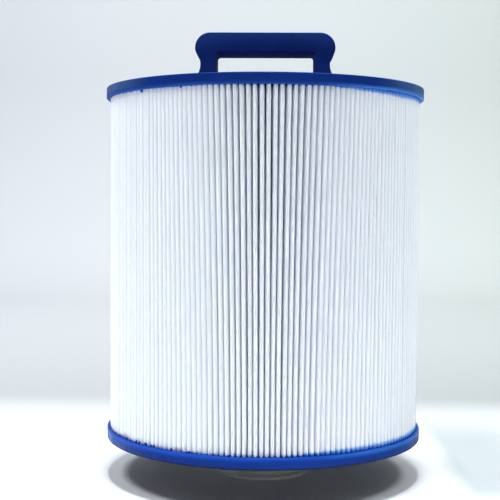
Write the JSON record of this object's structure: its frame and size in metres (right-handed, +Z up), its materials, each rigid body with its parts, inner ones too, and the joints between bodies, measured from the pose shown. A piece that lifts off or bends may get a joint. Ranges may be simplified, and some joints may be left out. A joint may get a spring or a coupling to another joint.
{
  "type": "pleated filter cartridge",
  "caption": "Upright pleated filter cartridge with resin end caps, an arched carrying handle on top and a male pipe thread outlet below.",
  "frame": {"origin": "centre of the threaded nipple's end face, the surface the cartridge stands on", "axes": "+Z up along the cartridge's axis, from the outlet to the handle; the handle's grip runs along X"},
  "size_m": [0.1524, 0.1524, 0.2116],
  "materials": {
    "media": "white spunbonded polyester, matte",
    "seam_bead": "cream hot-melt glue",
    "cap_resin": "royal blue cast polyurethane, satin",
    "handle": "navy moulded plastic, semi-gloss",
    "adapter": "off-white moulded plastic, satin",
    "core": "white moulded polypropylene"
  },
  "bodies": {
    "root": {"pleated_media": "media", "media_seam_bead": "seam_bead", "top_end_cap": "cap_resin", "bottom_end_cap": "cap_resin", "handle": "handle", "threaded_adapter": "adapter", "core_section_lower": "core", "core_section_middle": "core", "core_section_upper": "core", "core_bung": "core"}
  },
  "joints": []
}
